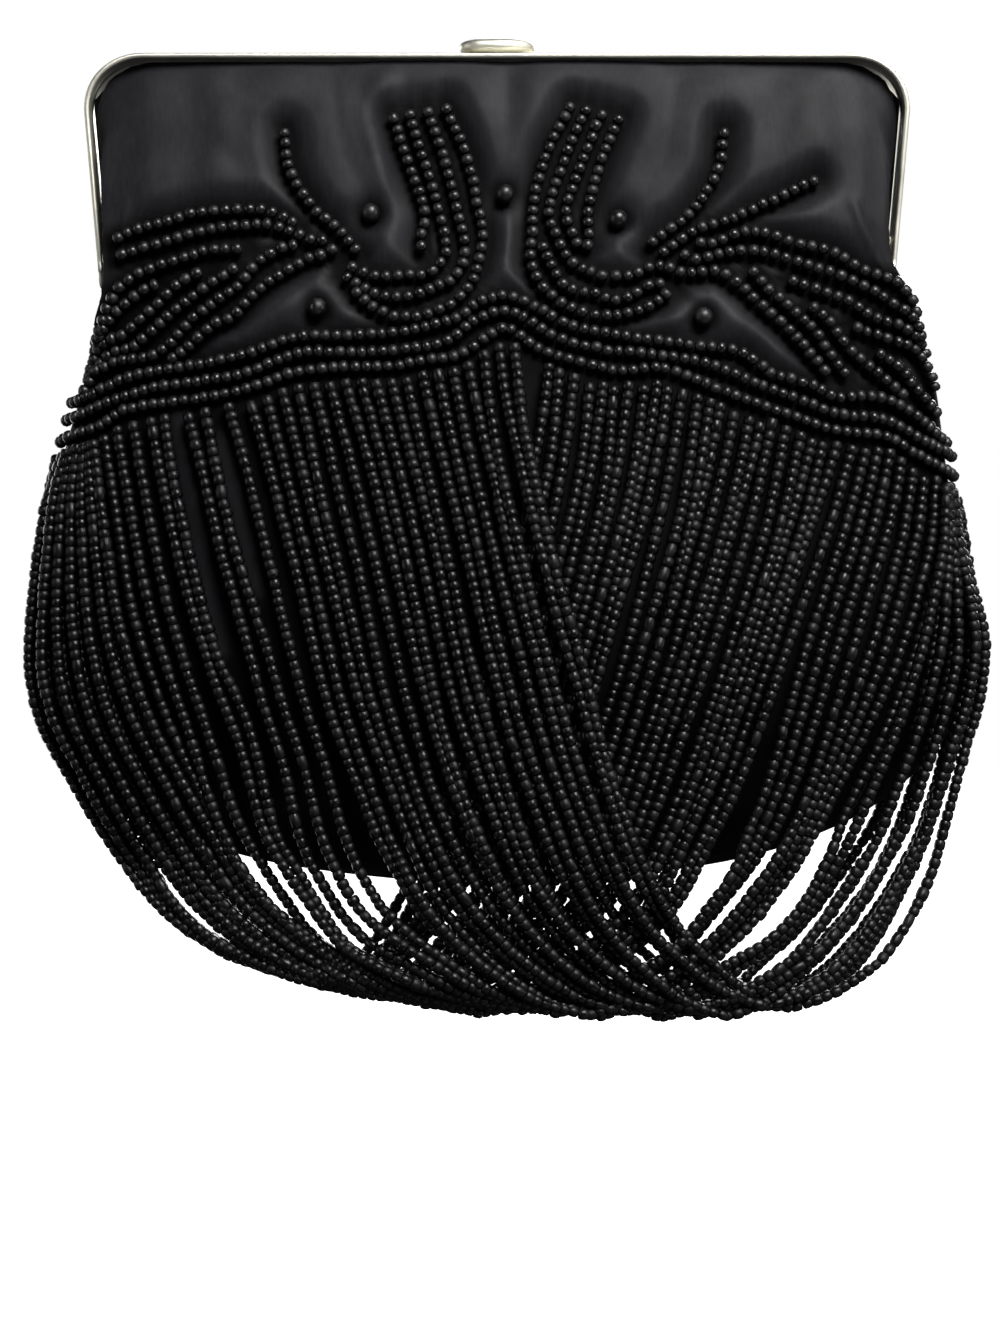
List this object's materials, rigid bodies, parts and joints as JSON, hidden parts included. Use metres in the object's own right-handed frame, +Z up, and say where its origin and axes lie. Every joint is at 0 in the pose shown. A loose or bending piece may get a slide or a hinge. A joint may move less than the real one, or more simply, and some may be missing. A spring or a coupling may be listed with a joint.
{
  "type": "beaded evening clutch",
  "caption": "Satin frame clutch with couched bead swirls, an arched bead band and a curtain of crossing bead loops, held by its metal frame.",
  "frame": {"origin": "middle of the top of the closed frame, where a hand holds the bag up", "axes": "+Z up, the beaded front faces -Y, +X to the right seen from the front"},
  "size_m": [0.1939, 0.0509, 0.196],
  "materials": {
    "satin": "black satin with a soft charcoal sheen",
    "beads": "glossy opaque black glass",
    "metal": "pale pewter-toned plated brass, soft polish"
  },
  "bodies": {
    "root": {"satin_front": "satin", "satin_back": "satin", "frame_front": "metal", "frame_back": "metal", "hinge_pin_left": "metal", "hinge_pin_right": "metal", "clasp": "metal", "band_row_1": "beads", "band_row_2": "beads", "band_row_3": "beads", "swirl_left_1": "beads", "swirl_left_2": "beads", "swirl_left_3": "beads", "swirl_left_4": "beads", "swirl_left_5": "beads", "swirl_left_6": "beads", "swirl_left_7": "beads", "swirl_left_8": "beads", "swirl_left_9": "beads", "swirl_left_10": "beads", "swirl_left_11": "beads", "swirl_left_12": "beads", "swirl_left_13": "beads", "swirl_right_1": "beads", "swirl_right_2": "beads", "swirl_right_3": "beads", "swirl_right_4": "beads", "swirl_right_5": "beads", "swirl_right_6": "beads", "swirl_right_7": "beads", "swirl_right_8": "beads", "swirl_right_9": "beads", "swirl_right_10": "beads", "swirl_right_11": "beads", "swirl_right_12": "beads", "swirl_right_13": "beads", "swirl_right_14": "beads", "accent_bead_1": "beads", "accent_bead_2": "beads", "accent_bead_3": "beads", "accent_bead_4": "beads", "accent_bead_5": "beads", "bead_fringe": "beads"}
  },
  "joints": []
}
